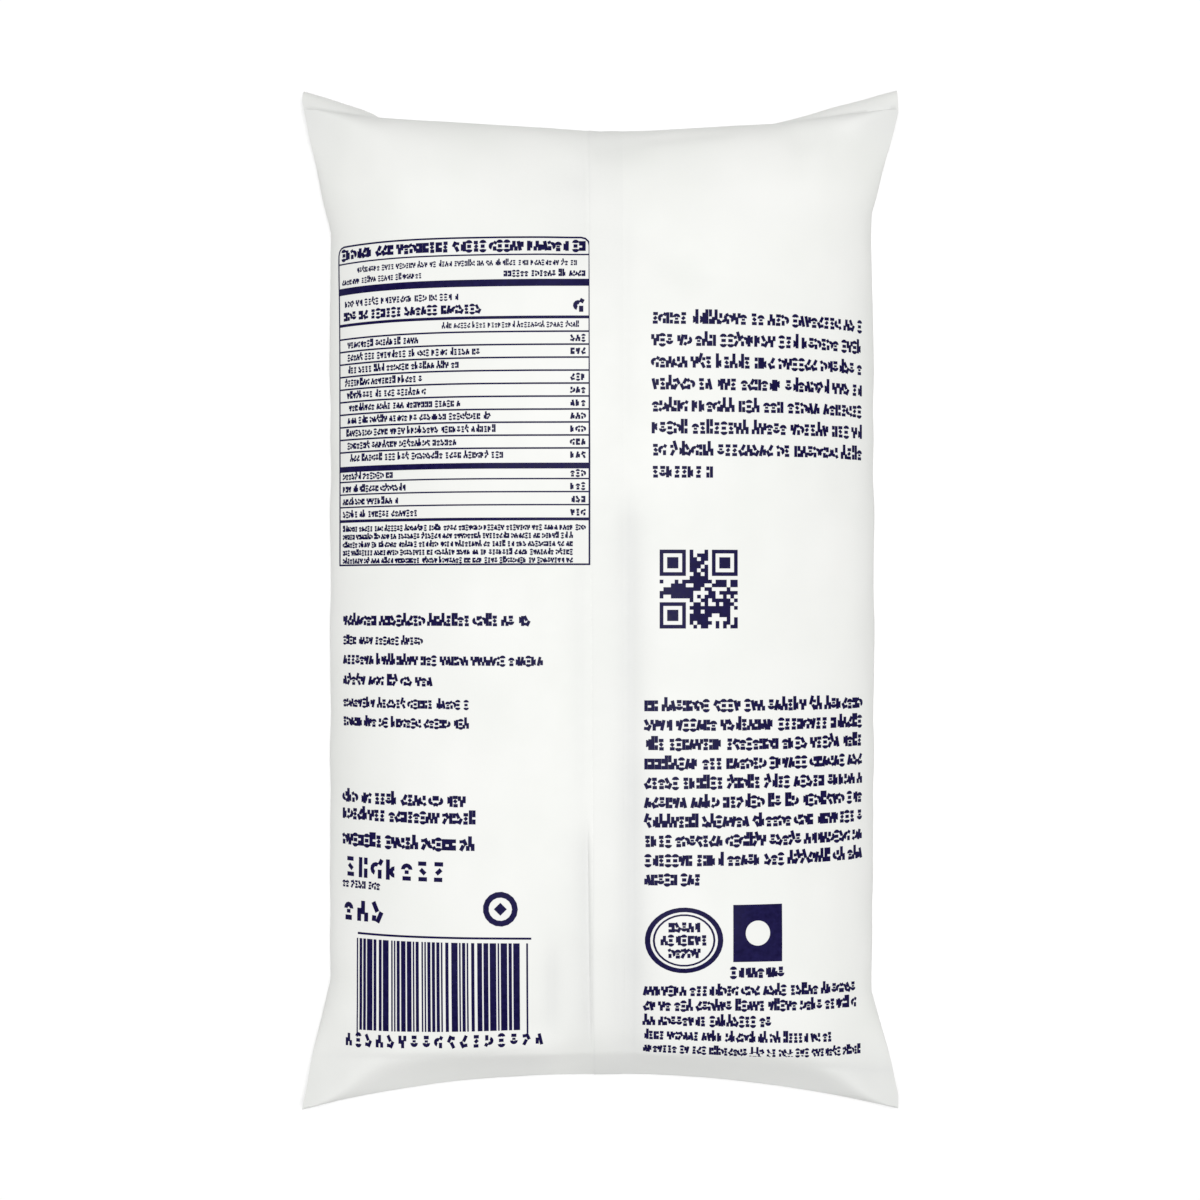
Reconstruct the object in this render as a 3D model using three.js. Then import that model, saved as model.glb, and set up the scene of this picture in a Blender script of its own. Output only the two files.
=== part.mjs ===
// A one kilogram bag of salt: a shut pillow pack of thin plastic film, filled tight, so one solid.
//
// Millimetres, +Z up. The pack lies flat on its front panel, with the back panel and its lengthwise
// seam facing up. +Y runs to the top end and +X to the right of the back panel. The origin is on the
// resting plane, under the middle of the pack.
//
// The film is a tube, laid flat and sealed across both ends. Filling draws the tube in, so the sides
// run straight between four kinks and flare from there to four pointed ears, and each end seal is
// a shallow hollow curve. A seal is a flat fin: it folds down over the end of the pack, and stands
// out only at the ears. The whole skin is one block grid, bent into shape point by point.

import * as THREE from 'three';
import { mergeVertices } from 'three/addons/utils/BufferGeometryUtils.js';

// Driving dimensions of the filled pack.
const EAR_HALF_WIDTH = 72.8;        // half the flat tube, reached at the ears
const BODY_HALF_WIDTH = 66.3;       // half the width between the kinks
const THICKNESS = 33;               // from the resting plane to the crown
const EDGE_HEIGHT = 11.2;           // side folds and end seals above the resting plane
const EAR_LIFT = 1.0;               // how much higher the ears sit
const EAR_SEAL_Y = 120.1;           // where the end seals meet the side folds
const EDGE_THICKNESS = 0.6;         // the fins, and the blunt line of the side folds

// Roundness of the upper panel: its cross-section, and how it rises from the sides and ends.
const SECTION_POWER = 2.5;
const SECTION_ROOT = 1.6;
const CORNER_BLEND = 4.5;

// The front panel is pressed flat by the load and turns up near its edges.
const FOOT_HALF_WIDTH = 57.5;
const FOOT_END_GAP = 11;            // from the flat area to the end seal
const FOOT_TURN = 2.6;              // power of the upturn

// End seal fins.
const FIN_HEIGHT = 9;
const FIN_LEAST_REACH = 1.2;        // how far the folded fin stands out in the middle
const FIN_EAR_REACH = 4.8;          // and at the ears
const SEAL_CURVE = 1.6;             // power of the hollow seal line

// What differs between the two ends.
const TOP_END = {
    sealHollow: 7.0,                // how far the middle of the seal is drawn in
    rise: 5.0,                      // power of the lengthwise profile, higher is blunter
    finOnset: 0.70,                 // from here out to finFull, as shares of the half width,
    finFull: 0.93,                  // the fin comes out from behind the pack
    finPower: 1.1,
    kinkLeft: 89.5,
    kinkRight: 93.7,
    flareLeft: 119.1,
    flareRight: 115.0,
};
const BOTTOM_END = {
    sealHollow: 6.0,
    rise: 4.5,
    finOnset: 0,
    finFull: 1,
    finPower: 2.6,
    kinkLeft: 85.4,
    kinkRight: 89.8,
    flareLeft: 120.1,
    flareRight: 119.6,
};

// Lengthwise seam: a flap folded over to the left, root to the right.
const FLAP_EDGE_X = -1.8;
const FLAP_ROOT_X = 7.9;
const FLAP_RISE = 0.6;
const FLAP_STEP = 0.3;              // width of the step at its free edge and at its root
const FLAP_FADE = 4;                // length over which it merges into the end seals

// Grid.
const SIDE_COLUMNS = 15;            // columns on each side of the flap
const FLAP_COLUMNS = 4;             // its two steps, with two columns between them
const BODY_ROWS = 48;
const FIN_ROWS = 3;
const COLUMN_CROWDING = 0.8;        // how strongly the grid crowds towards the edges
const ROW_CROWDING = 0.75;
const COLUMNS = 2 * SIDE_COLUMNS + FLAP_COLUMNS;
const ROWS = BODY_ROWS + 2 * FIN_ROWS;

const clamp = THREE.MathUtils.clamp;
const lerp = THREE.MathUtils.lerp;
const ramp = (value, from, to) => clamp((value - from) / (to - from), 0, 1);

// An even run from 0 to 1, crowded towards 1.
function crowd(s, strength) {
    return lerp(s, Math.sin(s * Math.PI / 2), strength);
}

// Column positions, as shares of the half width from -1 at the left side fold to 1 at the right.
function columnShares() {
    const left = FLAP_EDGE_X / BODY_HALF_WIDTH;
    const right = FLAP_ROOT_X / BODY_HALF_WIDTH;
    const step = FLAP_STEP / BODY_HALF_WIDTH;
    const shares = [];
    for (let i = SIDE_COLUMNS; i >= 0; i--) {
        shares.push(lerp(left, -1, crowd(i / SIDE_COLUMNS, COLUMN_CROWDING)));
    }
    shares.push(left + step, (left + right) / 2, right - step);
    for (let i = 0; i <= SIDE_COLUMNS; i++) {
        shares.push(lerp(right, 1, crowd(i / SIDE_COLUMNS, COLUMN_CROWDING)));
    }
    return shares;
}

const SHARES = columnShares();

// Distance of the end seal from the middle of the pack, across its width.
function sealDistance(share, end) {
    return EAR_SEAL_Y - end.sealHollow * (1 - Math.abs(share) ** SEAL_CURVE);
}

// Sideways place of a column: straight between the kinks, flared beyond them.
function across(share, y, end) {
    const kink = share < 0 ? end.kinkLeft : end.kinkRight;
    const full = share < 0 ? end.flareLeft : end.flareRight;
    const flare = (EAR_HALF_WIDTH - BODY_HALF_WIDTH) * ramp(Math.abs(y), kink, full);
    return BODY_HALF_WIDTH * share + flare * share ** 3;
}

// Two roundings, one from the sides and one from the ends, meeting softly at the corners.
function blendRoundings(fromSides, fromEnds) {
    if (fromSides <= 0 || fromEnds <= 0) {
        return 0;
    }
    return (fromSides ** -CORNER_BLEND + fromEnds ** -CORNER_BLEND - 1) ** (-1 / CORNER_BLEND);
}

// Height of the upper panel, 0 at its edges and 1 at the crown.
function upperRise(share, along, end) {
    const fromSides = (1 - Math.abs(share) ** SECTION_POWER) ** (1 / SECTION_ROOT);
    const fromEnds = Math.sqrt(1 - Math.abs(along) ** end.rise);
    return blendRoundings(fromSides, fromEnds);
}

// Fall of the lower panel, 0 at its edges and 1 where it is pressed flat.
function lowerFall(share, y, end) {
    const halfWidth = Math.abs(across(Math.sign(share), y, end));
    const footHalfWidth = FOOT_HALF_WIDTH / BODY_HALF_WIDTH * halfWidth;
    const seal = sealDistance(share, end);
    const sideways = ramp(Math.abs(across(share, y, end)), footHalfWidth, halfWidth);
    const endways = ramp(Math.abs(y), seal - FOOT_END_GAP, seal);
    return blendRoundings(1 - sideways ** FOOT_TURN, 1 - endways ** FOOT_TURN);
}

// Relief of the seam flap on the upper panel.
function flapRelief(column, y, share, end) {
    const first = SIDE_COLUMNS + 1;
    const onFlap = column >= first && column < first + FLAP_COLUMNS - 1;
    const fade = ramp(sealDistance(share, end) - Math.abs(y), 0, FLAP_FADE);
    return onFlap ? FLAP_RISE * fade : 0;
}

// A point of the filled part of the pack, on its upper or lower panel.
function bodyPoint(column, along, isUpper) {
    const share = SHARES[column];
    const end = along < 0 ? BOTTOM_END : TOP_END;
    const y = along * sealDistance(share, end);
    const edge = EDGE_HEIGHT + EAR_LIFT * (share * along) ** 2;
    const upperEdge = edge + EDGE_THICKNESS / 2;
    const lowerEdge = edge - EDGE_THICKNESS / 2;
    const upper = lerp(upperEdge, THICKNESS, upperRise(share, along, end));
    const lower = lerp(lowerEdge, 0, lowerFall(share, y, end));
    const z = isUpper ? upper + flapRelief(column, y, share, end) : lower;
    return [across(share, y, end), y, z];
}

// A point of an end fin: it bends down from the seal on a quarter ellipse, to its free edge at turn 1.
function finPoint(column, turn, end, isUpper) {
    const share = SHARES[column];
    const side = Math.abs(share);
    const seal = sealDistance(share, end);
    const outness = ramp(side, end.finOnset, end.finFull) ** end.finPower;
    const reach = lerp(FIN_LEAST_REACH, FIN_EAR_REACH, outness);
    const drop = Math.sqrt(FIN_HEIGHT ** 2 - reach ** 2);
    const angle = turn * Math.PI / 2;
    const outward = drop * Math.sin(angle);
    const upward = reach * Math.cos(angle);
    const offset = (isUpper ? 1 : -1) * EDGE_THICKNESS / 2 / Math.hypot(outward, upward);
    const edge = EDGE_HEIGHT + EAR_LIFT * side ** 2;
    const distance = seal + reach * Math.sin(angle) + offset * outward;
    const z = edge - drop * (1 - Math.cos(angle)) + offset * upward;
    const y = end === TOP_END ? distance : -distance;
    return [across(share, seal, end), y, z];
}

// A point of the whole skin, by its place in the block grid.
function skinPoint(column, row, isUpper) {
    if (row < FIN_ROWS) {
        return finPoint(column, 1 - row / FIN_ROWS, BOTTOM_END, isUpper);
    }
    if (row > ROWS - FIN_ROWS) {
        return finPoint(column, (row - ROWS + FIN_ROWS) / FIN_ROWS, TOP_END, isUpper);
    }
    const even = 2 * (row - FIN_ROWS) / BODY_ROWS - 1;
    return bodyPoint(column, Math.sign(even) * crowd(Math.abs(even), ROW_CROWDING), isUpper);
}

// A block with one cell for each column and row, bent into the pack.
function packGeometry() {
    const block = new THREE.BoxGeometry(COLUMNS, ROWS, 1, COLUMNS, ROWS, 1);
    const position = block.attributes.position;
    for (let i = 0; i < position.count; i++) {
        const column = Math.round(position.getX(i) + COLUMNS / 2);
        const row = Math.round(position.getY(i) + ROWS / 2);
        position.setXYZ(i, ...skinPoint(column, row, position.getZ(i) > 0));
    }
    block.deleteAttribute('normal');
    block.deleteAttribute('uv');
    const geometry = mergeVertices(block);
    geometry.computeVertexNormals();
    return geometry;
}

const film = new THREE.MeshStandardMaterial({ color: 0xf4f4f0, roughness: 0.42, metalness: 0 });
const saltBag = new THREE.Mesh(packGeometry(), film);
saltBag.name = 'salt_bag';

const pack = new THREE.Group();
pack.add(saltBag);

export default pack;
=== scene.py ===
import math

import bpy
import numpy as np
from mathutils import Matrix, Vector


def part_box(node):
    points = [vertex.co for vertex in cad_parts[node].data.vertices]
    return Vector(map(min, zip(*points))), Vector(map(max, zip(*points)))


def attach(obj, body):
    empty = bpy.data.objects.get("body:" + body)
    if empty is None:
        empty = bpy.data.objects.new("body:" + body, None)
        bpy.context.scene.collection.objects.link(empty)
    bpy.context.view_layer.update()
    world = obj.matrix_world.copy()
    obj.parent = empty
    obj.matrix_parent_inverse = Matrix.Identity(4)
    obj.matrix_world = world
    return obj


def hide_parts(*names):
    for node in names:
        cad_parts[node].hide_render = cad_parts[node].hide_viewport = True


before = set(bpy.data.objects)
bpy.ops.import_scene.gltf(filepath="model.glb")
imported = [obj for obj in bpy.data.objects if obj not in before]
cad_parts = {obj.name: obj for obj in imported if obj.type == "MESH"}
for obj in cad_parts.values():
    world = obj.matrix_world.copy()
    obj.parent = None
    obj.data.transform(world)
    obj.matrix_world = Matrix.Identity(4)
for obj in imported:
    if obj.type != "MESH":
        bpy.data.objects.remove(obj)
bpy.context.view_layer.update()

# A filled one kilogram bag of salt: a pillow pack of thin white film, lying on its front panel.
#
# The film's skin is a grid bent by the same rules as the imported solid, but finer, and with the
# dents, puckers and creases of real film. The lengthwise seam is a flap of film laid over it. The
# print is thin ink, cut as small closed slabs that follow the film. Shapes are worked out in
# millimetres, with x to the right, y towards the pack's top end and z up, and meshes are made in
# metres. A share runs from -1 to 1 across the pack, or from 0 to 1 elsewhere.

MM = 0.001
BODY = "root"
NODE = "salt_bag"

# ---------------------------------------------------------------- sizes, in millimetres

_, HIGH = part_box(NODE)
EAR_HALF_WIDTH = HIGH.x / MM
HALF_LENGTH = HIGH.y / MM
FLAP_RISE = 0.6                      # the solid's box is this much higher than the film's crown
THICKNESS = HIGH.z / MM - FLAP_RISE

BODY_HALF_WIDTH = 66.3               # half the width between the kinks
SIDE_WIDTHS = (65.9, 66.4)           # the same, left and right of the seam
BELLY = 0.6                          # how much further out the right side stands half way along
BELLY_HALF_LENGTH = 85.0
SIDE_RIPPLE, SIDE_RIPPLE_LENGTH = 0.25, 17
EDGE_HEIGHT = 11.2                   # side folds and end seals above the resting plane
EAR_LIFT = 1.0                       # how much higher the ears sit
FILM_EDGE = 0.3                      # two layers of film, at the fins
CROWN_SLACK = 0.2                    # how far lumps may rise over the crown

SECTION_POWER, SECTION_ROOT = 2.5, 1.6
CORNER_BLEND = 4.5
EARS_FLATTEN = (99.0, 114.0)         # between these the side folds lose their roundness
FACET_Y = 109.6                      # where the bottom end creases, and runs straight to its seal
FACET_FADES = (0.72, 0.96)           # between these shares the crease gives way to the ears
FOOT_HALF_WIDTH = 57.5               # the flat part that the pack lies on
FOOT_END_GAP = 11.0
FOOT_TURN = 2.6

FIN_HEIGHT = 9.0
FIN_LEAST_REACH = 0.5                # how far a fin stands out beyond its seal
FIN_EAR_REACH = 4.8                  # and how far in the top ears
FIN_START = math.radians(32)         # how far a fin has turned down where it leaves the seal
FIN_SPAN = 0.1                       # how much of the long coordinate each fin takes up
FIN_RIPPLE, FIN_RIPPLE_LENGTH = 0.35, 16
EAR_SEAL_Y = HALF_LENGTH - FIN_EAR_REACH - 0.3

# What differs between the ends. Pairs are for the left and the right side.
TOP_END = {
    "middle": (114.3, 113.8),        # how far from the pack's middle the seal lies at the seam
    "slope": (4.2, 3.6),             # how much further out it has run at the ears
    "power": (0.95, 0.90),           # and how late it does so
    "onset": (0.78, 0.62),           # the share across where an ear starts
    "ear_seal": (EAR_SEAL_Y, EAR_SEAL_Y),  # how far out the seal lies at the ear's tip
    "ear_reach": (FIN_EAR_REACH, FIN_EAR_REACH),  # how far the fin stands out there
    "fin_power": (0.66, 0.95),       # how late it comes to do so
    "droop": (0.85, 0.6),            # how much of its height hangs down there
    "kink": (89.6, 94.5),            # where the side starts to flare
    "flare": (121.9, 118.9),         # and where it has flared in full
    "rise": (5.0, 5.0),              # how square the end's rounding is
}
BOTTOM_END = {
    "middle": (115.7, 115.6),
    "slope": (8.3, 8.3),
    "power": (2.45, 2.3),
    "onset": (0.9, 0.9),
    "ear_seal": (124.3, 124.0),
    "ear_reach": (FIN_LEAST_REACH, FIN_LEAST_REACH),
    "fin_power": (1.0, 1.0),
    "droop": (1.0, 1.0),
    "kink": (92.3, 95.4),
    "flare": (124.4, 120.6),
    "rise": (4.5, 4.5),
}

FLAP_LEFT = (-1.4, -2.8)             # free edge of the seam flap, at the bottom and at the top
FLAP_RIGHT = 6.6                     # and its root
FLAP_THICKNESS = 0.12

# How the film is drawn in along the sides, which bends the printed rows there: a share of the
# distance from the middle. It dies out over the bottom of the pack, where rows sag towards the
# seal instead.
SIDE_DRAW = 0.018
DRAW_FADES, DRAW_GONE = -65.0, -95.0
BOTTOM_SAG = 1.1
SAG_STARTS, SAG_FULL = -97.0, -109.0
SAG_SHARES = (0.2, 0.6)              # it comes in between these shares across

# ---------------------------------------------------------------- the film's shape


def ramp(value, low, high):
    return np.clip((value - low) / (high - low), 0.0, 1.0)


def smooth(value, low, high):
    t = ramp(value, low, high)
    return t * t * (3 - 2 * t)


def lerp(a, b, t):
    return a + (b - a) * t


def by_corner(key, share, along):
    bottom = np.where(share < 0, *BOTTOM_END[key])
    top = np.where(share < 0, *TOP_END[key])
    return np.where(along < 0, bottom, top)


def waves(x, y, wavelength, seed, count=14):
    """Smooth random relief from -1 to 1 or so: a sum of waves in random directions."""
    rng = np.random.RandomState(seed)
    total = np.zeros(np.broadcast(x, y).shape)
    for _ in range(count):
        angle, phase = rng.uniform(0, 2 * math.pi, 2)
        k = 2 * math.pi / wavelength * rng.uniform(0.6, 1.4)
        total += np.sin(k * (x * math.cos(angle) + y * math.sin(angle)) + phase)
    return total * math.sqrt(2 / count) / 2


def seal_distance(share, along):
    """How far from the pack's middle an end seal lies: least at the seam, most at the ears."""
    left, right = (by_corner("middle", sign, along) for sign in (-1, 1))
    middle = lerp(left, right, smooth(share, -0.05, 0.2))
    slope = by_corner("slope", share, along)
    to_ear = by_corner("ear_seal", share, along) - middle - slope
    side = np.abs(share)
    ear = to_ear * ramp(side, by_corner("onset", share, along), 1)
    return middle + slope * side ** by_corner("power", share, along) + ear


def across(share, y):
    """Sideways place of a point: straight between the kinks, flared beyond them."""
    flare = ramp(np.abs(y), by_corner("kink", share, y), by_corner("flare", share, y))
    width = np.where(share < 0, *SIDE_WIDTHS)
    belly = BELLY * np.maximum(share, 0) ** 3 * np.clip(1 - (y / BELLY_HALF_LENGTH) ** 2, 0, 1)
    return width * share + (EAR_HALF_WIDTH - width) * flare * share ** 3 + belly


def blend_roundings(from_sides, from_ends):
    a = np.maximum(from_sides, 1e-4) ** -CORNER_BLEND
    b = np.maximum(from_ends, 1e-4) ** -CORNER_BLEND
    inside = (from_sides > 0) & (from_ends > 0)
    return np.where(inside, (a + b - 1) ** (-1 / CORNER_BLEND), 0.0)


def end_rise(share, along):
    return np.sqrt(np.clip(1 - np.abs(along) ** by_corner("rise", share, along), 0, 1))


def upper_rise(share, along):
    """Height of the upper panel, 0 at its edges and 1 at the crown."""
    seal = seal_distance(share, along)
    in_ears = smooth(np.abs(along) * seal, *EARS_FLATTEN)
    from_sides = np.clip(1 - np.abs(share) ** SECTION_POWER, 0, 1)
    from_sides = from_sides ** lerp(1 / SECTION_ROOT, 1.0, in_ears)
    facet = end_rise(share, -FACET_Y / seal) * (1 - np.abs(along)) / (1 - FACET_Y / seal)
    on_facet = (along < 0) & (np.abs(along) * seal > FACET_Y)
    creased = on_facet * (1 - smooth(np.abs(share), *FACET_FADES))
    from_ends = lerp(end_rise(share, along), facet, creased)
    return blend_roundings(from_sides, from_ends)


def lower_fall(share, along, y):
    """Fall of the lower panel, 0 at its edges and 1 where it is pressed flat."""
    x = across(share, y)
    half_width = np.abs(across(np.where(share < 0, -1.0, 1.0), y))
    foot = FOOT_HALF_WIDTH / BODY_HALF_WIDTH * half_width
    seal = seal_distance(share, along)
    sideways = ramp(np.abs(x), foot, half_width)
    endways = ramp(np.abs(y), seal - FOOT_END_GAP, seal)
    return blend_roundings(1 - sideways ** FOOT_TURN, 1 - endways ** FOOT_TURN)


# Dents and folds of the upper panel: ends of the line each runs along, depth and half breadth.
DENTS = [
    (12, 86, 24, 78, 0.50, 5.0),         # two shallow dents beside the seam
    (9, 97, 15, 90, 0.30, 4.0),
    (1, 110, 8, 111, 1.0, 4.0),          # where the seam meets the top seal
    (-7, 86, -7, 100, 0.7, 6.0),
    (-8, 104, -20, 108, 0.5, 9.0),
    (12, 111.4, 30, 113.0, 0.5, 1.2),
    (20, 111.5, 36, 112.5, -1.0, 9.0),   # a fuller shoulder right of the seam
    (49, 112.5, 58, 115.0, 1.3, 4.5),    # the right ear's root
    (1.5, 84, 1.5, 106, 0.5, 6.0),       # the seam's hollow, shallow above and deeper below
    (3.0, 4, 2.0, -104, 0.8, 7.0),
    (-5, -109, 8, -109, 1.3, 4.0),       # where the panel turns down to the bottom seal
    (-66, 110, -58, 100, 0.35, 6.0),     # hollows behind the ears
    (66, 109, 58, 100, 0.30, 6.0),
    (-66, -109, -59, -100, 0.60, 6.0),
    (66, -109, 59, -100, 0.60, 6.0),
]
# Folds are sharp, and have two half breadths: left and right of the line, seen from its start.
FOLDS = [
    (0, 112.6, 8, 112.9, 0.3, 3.0, 3.0),      # where the seam runs into the top seal
    (-4.0, 89, -4.0, 101, 0.45, 7.0, 0.9),
    (6.8, 46, 6.6, 86, 0.30, 1.8, 1.8),       # the valley along the flap's root, deeper below
    (8.0, -105, 6.9, 16, 1.12, 3.1, 3.2),
    (8.2, -86, 7.8, -46, 0.32, 3.8, 3.8),
    (-4.4, -40, -4.4, 14, 0.40, 2.4, 1.6),    # and the lesser one along its free edge
    (-2.4, -100, -2.9, -62, 1.15, 3.4, 0.5),
    (-11.6, -96, -11.6, -91, 0.90, 1.6, 1.6),  # pull lines beside and on the flap
    (3.8, -97, 3.6, -88, 0.25, 1.4, 1.4),
    (-60, -110.6, -26, -109.2, 0.45, 1.0, 1.0),  # creases in the bottom corners
    (60, -113.5, 66, -114.2, 0.80, 1.2, 1.2),
]

FOLD_ROUND = 0.02                    # how much the bottom of a sharp fold is rounded
FOLD_FADE = 8.0                      # how far past its ends a fold fades out

LUMPS = ((0.30, 34, 3), (0.10, 13, 5))  # height, wavelength and seed of the lumps of salt
END_ROLL = 1.1                       # how much fuller the bottom end is, just inside its seal
END_ROLL_PLACE, END_ROLL_BREADTH = 7.5, 4.5  # how far inside, and over what breadth
PUCKER_HEIGHT, PUCKER_LENGTH = 0.35, 8.5     # puckers of the film along the end seals
PUCKER_REACH, PUCKER_START = 9.0, 2.5
PUCKER_STRETCH = 0.25                # they run lengthwise


def beside_line(x, y, x0, y0, x1, y1):
    """How far points lie to the right of a line, seen from its start, and how far past its ends."""
    dx, dy = x1 - x0, y1 - y0
    length = math.hypot(dx, dy)
    run = ((x - x0) * dx + (y - y0) * dy) / length
    aside = ((x - x0) * dy - (y - y0) * dx) / length
    return aside, run - np.clip(run, 0, length)


def dent_depth(x, y):
    total = 0.0
    for *line, depth, breadth in DENTS:
        aside, past = beside_line(x, y, *line)
        total = total + depth * np.exp(-(aside ** 2 + past ** 2) / breadth ** 2)
    return total


def fold_depth(x, y):
    total = 0.0
    for *line, depth, left, right in FOLDS:
        aside, past = beside_line(x, y, *line)
        sharp = np.exp(-np.sqrt((aside / np.where(aside < 0, left, right)) ** 2 + FOLD_ROUND))
        total = total + depth * sharp * np.exp(-(past / FOLD_FADE) ** 2)
    return total


def upper_relief(x, y, share, along):
    """How far real film departs from the smooth panel: lumps, dents, folds and end puckers."""
    lumps = sum(height * waves(x, y, length, seed) for height, length, seed in LUMPS)
    from_seal = (1 - np.abs(along)) * seal_distance(share, along)
    end_roll = np.exp(-((from_seal - END_ROLL_PLACE) / END_ROLL_BREADTH) ** 2)
    end_roll = END_ROLL * (along < 0) * end_roll * (1 - np.abs(share) ** 4)
    pucker_reach = np.exp(-from_seal / PUCKER_REACH) * smooth(from_seal, 0.0, PUCKER_START)
    puckers = PUCKER_HEIGHT * pucker_reach * waves(x, PUCKER_STRETCH * y, PUCKER_LENGTH, 11)
    return lumps - dent_depth(x, y) - fold_depth(x, y) + puckers + end_roll


FLAP_WANDER, FLAP_WANDER_LENGTH = 0.15, 60   # how far from straight the free edge runs
LEAST_LIFT = 0.03                    # how far it stands off
LIFT_AT_TOP = (0.12, 0.84, 0.07)     # how much more near the ends, where along, and over how much
LIFT_AT_BOTTOM = (0.22, -0.72, 0.24)


def flap_edge(along):
    """How far from the middle line the free edge of the seam's flap runs."""
    y = along * HALF_LENGTH
    return lerp(*FLAP_LEFT, (along + 1) / 2) + FLAP_WANDER * waves(y, 0 * y, FLAP_WANDER_LENGTH, 41)


def flap_lift(along):
    """How far the flap's free edge stands off: only near the ends does it show."""
    more, place, breadth = LIFT_AT_TOP
    near_top = more * np.exp(-((along - place) / breadth) ** 2)
    more, place, breadth = LIFT_AT_BOTTOM
    near_bottom = more * np.exp(-((along - place) / breadth) ** 4)
    return LEAST_LIFT + near_top + near_bottom


# Where the film is greyer, and how much so, from 0 to 1: partly film that no salt backs, partly
# painted shade in folds, beside the flap's free edge, along the right side, in the ears and in the
# end bands.
EARS_BARE_AND_SHADED = (0.12, 0.55)             # in the ears, at the bottom and at the top: film with little salt behind it, and painted shade of their slopes
EARS_GREY_SPAN = (104.0, 117.0)      # how far from the pack's middle this comes in
TOP_BARE_AND_SHADED, TOP_GREY_STRIP = 0.06, 3.0         # along the top seal, and how far inside it: thin film by the seal, and painted shade where it turns down
PAINTED_SIDE_SHADE = 0.12                     # painted shade along the right side
SIDE_SHADE_SHARES = (0.90, 0.97)
SIDE_SHADE_FADES = (75.0, 95.0)       # how far from the pack's middle this goes
PAINTED_FOLD_SHADE = 0.74                     # painted shade in a fold 1 mm deep
PAINTED_EDGE_SHADOW = 0.15                     # painted shadow in the line along the flap's free edge
EDGE_SHADOW_PER_LIFT = 0.8                 # and how much darker for each 1 mm that the edge stands off
EDGE_SHADOW_BREADTH = 0.32

# The band between the crease of the bottom end and its seal, greyed: partly film with little salt
# behind it, partly painted shade of its steep fall to the seal.
BAND_LEFT, BAND_MIDDLE = 0.22, 0.30  # how grey it is from the left ear to the middle
BAND_LEFT_SHARES = (-0.8, -0.3)
BAND_MORE = 0.15                     # how much greyer it is right of the seam
BAND_MORE_SHARES = (-0.2, 0.15)
BAND_SPOT = (-0.25, -0.14, 0.08)     # a less grey spot left of the seam: how much, share, breadth
BAND_SOFT = (1.2, 6.0)               # how gradually it comes in: sharply at BAND_SHARP, else softly
BAND_SHARP = -0.42
BAND_SHARP_SPAN = (0.12, 0.34)

FIN_WHITE = 0.9                      # how far a fin, two films thick, looks like backed film
FIN_WHITE_START = 0.4                # how much of a fin's span that takes to come in
BOTTOM_FIN_SHARES = (0.5, 0.75)      # the bottom fin is so only in its ears


def band_bare_and_shaded(share):
    """How grey the bottom band is made, from 0 to 1: little salt behind the film, and painted
    shade.
    """
    bare = lerp(BAND_LEFT, BAND_MIDDLE, smooth(share, *BAND_LEFT_SHARES))
    bare = bare + BAND_MORE * smooth(share, *BAND_MORE_SHARES)
    more, place, breadth = BAND_SPOT
    return bare + more * np.exp(-((share - place) / breadth) ** 2)


def cover_and_shade(share, along):
    """How white the film is left, from 0 to 1: less where no salt backs it, at the seals and in the
    ears, and less again for painted shade in the ears, the end bands, along folds, along the right
    side and beside the flap's free edge.
    """
    seal = seal_distance(share, along)
    y = along * seal
    x = across(share, y)
    side, end = np.abs(share), np.abs(y)
    in_ear = side ** 5 * smooth(end, *EARS_GREY_SPAN) * np.where(along < 0, *EARS_BARE_AND_SHADED)
    in_top = TOP_BARE_AND_SHADED * smooth(end - seal, -TOP_GREY_STRIP, 0.0)
    soft = lerp(*BAND_SOFT, smooth(np.abs(share - BAND_SHARP), *BAND_SHARP_SPAN))
    in_bottom = band_bare_and_shaded(share) * smooth(end, FACET_Y - soft, FACET_Y + soft)
    in_end = np.where(along < 0, in_bottom, in_top)
    # Painted shade along the right side, fading towards the ends.
    side_shade = PAINTED_SIDE_SHADE * smooth(share, *SIDE_SHADE_SHARES) * (1 - smooth(end, *SIDE_SHADE_FADES))
    # Painted shade in the folds, the deeper the darker.
    fold_shade = np.clip(PAINTED_FOLD_SHADE * fold_depth(x, y), 0, 1)
    # A painted shadow line beside the flap's free edge, darker where the edge stands off.
    edge_shadow = np.exp(-((x - flap_edge(along)) / EDGE_SHADOW_BREADTH) ** 2)
    edge_shadow = (PAINTED_EDGE_SHADOW + EDGE_SHADOW_PER_LIFT * flap_lift(along)) * edge_shadow
    unshaded_cover = (1 - in_ear) * (1 - side_shade) * (1 - in_end) * (1 - fold_shade) * (1 - edge_shadow)
    in_fin = smooth(np.abs(along), 1, 1 + FIN_WHITE_START * FIN_SPAN)
    in_fin = in_fin * np.where(along < 0, smooth(side, *BOTTOM_FIN_SHARES), 1)
    return lerp(unshaded_cover, 1, FIN_WHITE * in_fin)


def body_skin(share, along, upper):
    """Points of the filled part of the pack."""
    y = along * seal_distance(share, along)
    x = across(share, y)
    edge = EDGE_HEIGHT + EAR_LIFT * (share * along) ** 2
    if upper:
        rise = upper_rise(share, along)
        z = lerp(edge + FILM_EDGE / 2, THICKNESS, rise)
        z = z + smooth(rise, 0.0, 0.5) * upper_relief(x, y, share, along)
        z = np.minimum(z, THICKNESS + CROWN_SLACK)
    else:
        z = lerp(edge - FILM_EDGE / 2, 0.0, lower_fall(share, along, y))
    at_side = smooth(np.abs(share), 0.95, 1.0) * (1 - smooth(np.abs(along), 0.9, 1.0))
    x = x + np.sign(share) * SIDE_RIPPLE * at_side * waves(y, z, SIDE_RIPPLE_LENGTH, 21)
    return x, y, z


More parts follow.
